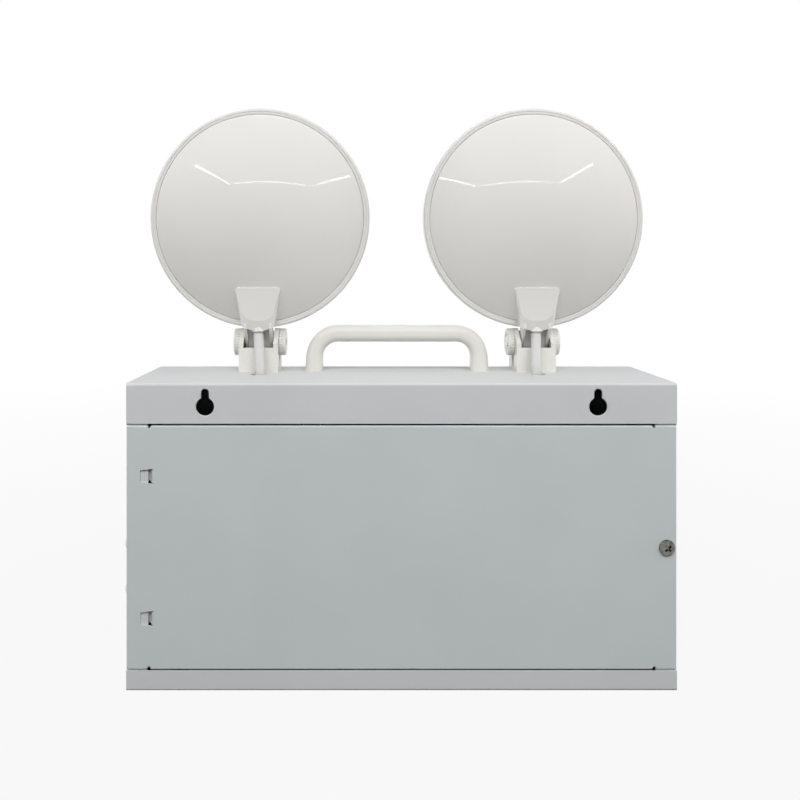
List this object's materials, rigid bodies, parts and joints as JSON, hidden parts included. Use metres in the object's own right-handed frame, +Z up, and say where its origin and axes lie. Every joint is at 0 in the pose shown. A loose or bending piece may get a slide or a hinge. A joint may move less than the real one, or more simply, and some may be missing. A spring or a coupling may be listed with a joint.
{
  "type": "emergency light",
  "caption": "Emergency light with tilting round lamp heads on a folded steel battery case with a carrying handle, a rear battery door and keyholes for a wall.",
  "frame": {"origin": "middle of the case's flat base", "axes": "+Z up; +X to the right as seen from the front; +Y towards the back, where the battery door and the keyholes are; the lamps face -Y"},
  "size_m": [0.2904, 0.0865, 0.307],
  "materials": {
    "case_paint": "light grey powder coat, satin",
    "head_plastic": "off-white ABS, glossy",
    "foot_plastic": "off-white ABS, semi-gloss",
    "handle_plastic": "off-white ABS, satin gloss",
    "knob_plastic": "off-white ABS, grooved rim",
    "zinc": "bright zinc plate",
    "galvanised": "zinc-coated sheet",
    "lens_clear": "clear polycarbonate",
    "reflector_silver": "metallised plastic",
    "board_white": "white solder mask",
    "emitter_yellow": "phosphor under clear resin",
    "cable_white": "white PVC sheath",
    "battery_case": "dark grey ABS",
    "tab_brass": "tinned brass",
    "wire_red": "red PVC",
    "wire_black": "black PVC",
    "board_green": "green solder mask",
    "relay_blue": "blue moulded case",
    "capacitor_sleeve": "shrink sleeve",
    "socket_cream": "natural nylon",
    "terminal_green": "green nylon",
    "laminations": "varnished silicon steel",
    "winding_tape": "yellow polyester tape",
    "led_green": "tinted clear resin",
    "led_red": "tinted clear resin",
    "led_yellow": "tinted clear resin",
    "switch_black": "black nylon",
    "button_red": "red ABS",
    "fitting_black": "black nylon",
    "block_white": "white polyamide"
  },
  "bodies": {
    "case": {"case_shell": "case_paint", "carry_handle": "handle_plastic", "handle_screws": "zinc", "lamp_foot_left": "foot_plastic", "lamp_foot_right": "foot_plastic", "foot_screws": "zinc", "head_cable_left": "cable_white", "head_cable_right": "cable_white", "battery": "battery_case", "battery_tabs": "tab_brass", "battery_bracket": "galvanised", "bracket_nuts": "zinc", "battery_lead_red": "wire_red", "battery_lead_black": "wire_black", "charger_board": "board_green", "board_pillars": "tab_brass", "board_screws": "zinc", "relay": "relay_blue", "capacitor": "capacitor_sleeve", "lamp_sockets": "socket_cream", "battery_sockets": "terminal_green", "transformer_core": "laminations", "transformer_coil": "winding_tape", "transformer_frame": "galvanised", "frame_nuts": "zinc", "mains_indicator": "led_green", "charge_indicator": "led_red", "fault_indicator": "led_yellow", "test_switch": "switch_black", "terminal_block": "block_white", "side_screws": "zinc", "supply_gland": "fitting_black", "gland_nut": "fitting_black", "fuse_holder": "fitting_black"},
    "right_head": {"head_shell_right": "head_plastic", "bezel_right": "head_plastic", "lens_right": "lens_clear", "reflector_right": "reflector_silver", "led_board_right": "board_white", "led_emitter_right": "emitter_yellow", "led_screws_right": "zinc"},
    "left_head": {"head_shell_left": "head_plastic", "bezel_left": "head_plastic", "lens_left": "lens_clear", "reflector_left": "reflector_silver", "led_board_left": "board_white", "led_emitter_left": "emitter_yellow", "led_screws_left": "zinc"},
    "right_bolt": {"pivot_bolt_right": "zinc", "bolt_knob_right": "knob_plastic"},
    "left_bolt": {"pivot_bolt_left": "zinc", "bolt_knob_left": "knob_plastic"},
    "right_nut": {"nut_knob_right": "knob_plastic", "pivot_nut_right": "zinc"},
    "left_nut": {"nut_knob_left": "knob_plastic", "pivot_nut_left": "zinc"},
    "door": {"rear_door": "case_paint"},
    "door_fastener": {"door_screw": "zinc"},
    "button": {"test_button": "button_red"},
    "fuse": {"fuse_cap": "fitting_black"}
  },
  "joints": [
    {"name": "right_head_tilt", "type": "hinge", "parent": "case", "child": "right_head", "pos_m": [0.0785, -0.02185, 0.1726], "axis": [1, 0, 0], "range_deg": [-20, 60], "deforming": ["head_cable_right"]},
    {"name": "left_head_tilt", "type": "hinge", "parent": "case", "child": "left_head", "pos_m": [-0.0785, -0.02185, 0.1726], "axis": [1, 0, 0], "range_deg": [-20, 60], "deforming": ["head_cable_left"]},
    {"name": "right_bolt_turn", "type": "hinge", "parent": "case", "child": "right_bolt", "pos_m": [0.0785, -0.02185, 0.1726], "axis": [1, 0, 0], "continuous": true},
    {"name": "left_bolt_turn", "type": "hinge", "parent": "case", "child": "left_bolt", "pos_m": [-0.0785, -0.02185, 0.1726], "axis": [1, 0, 0], "continuous": true},
    {"name": "right_nut_turn", "type": "hinge", "parent": "case", "child": "right_nut", "pos_m": [0.0785, -0.02185, 0.1726], "axis": [1, 0, 0], "continuous": true},
    {"name": "left_nut_turn", "type": "hinge", "parent": "case", "child": "left_nut", "pos_m": [-0.0785, -0.02185, 0.1726], "axis": [1, 0, 0], "continuous": true},
    {"name": "door_swing", "type": "hinge", "parent": "case", "child": "door", "pos_m": [0.14, 0.0493, 0.07315], "axis": [0, 0, -1], "range_deg": [0, 90]},
    {"name": "door_screw_turn", "type": "hinge", "parent": "door", "child": "door_fastener", "pos_m": [-0.1347, 0.04, 0.07315], "axis": [0, 1, 0], "continuous": true},
    {"name": "test_button_press", "type": "slide", "parent": "case", "child": "button", "axis": [0, 1, 0], "range_m": [0, 0.0015], "stiffness_N_per_m": 800, "springref_m": -0.001},
    {"name": "fuse_cap_turn", "type": "hinge", "parent": "case", "child": "fuse", "pos_m": [-0.14, 0, 0.062], "axis": [-1, 0, 0], "range_deg": [0, 90]}
  ]
}
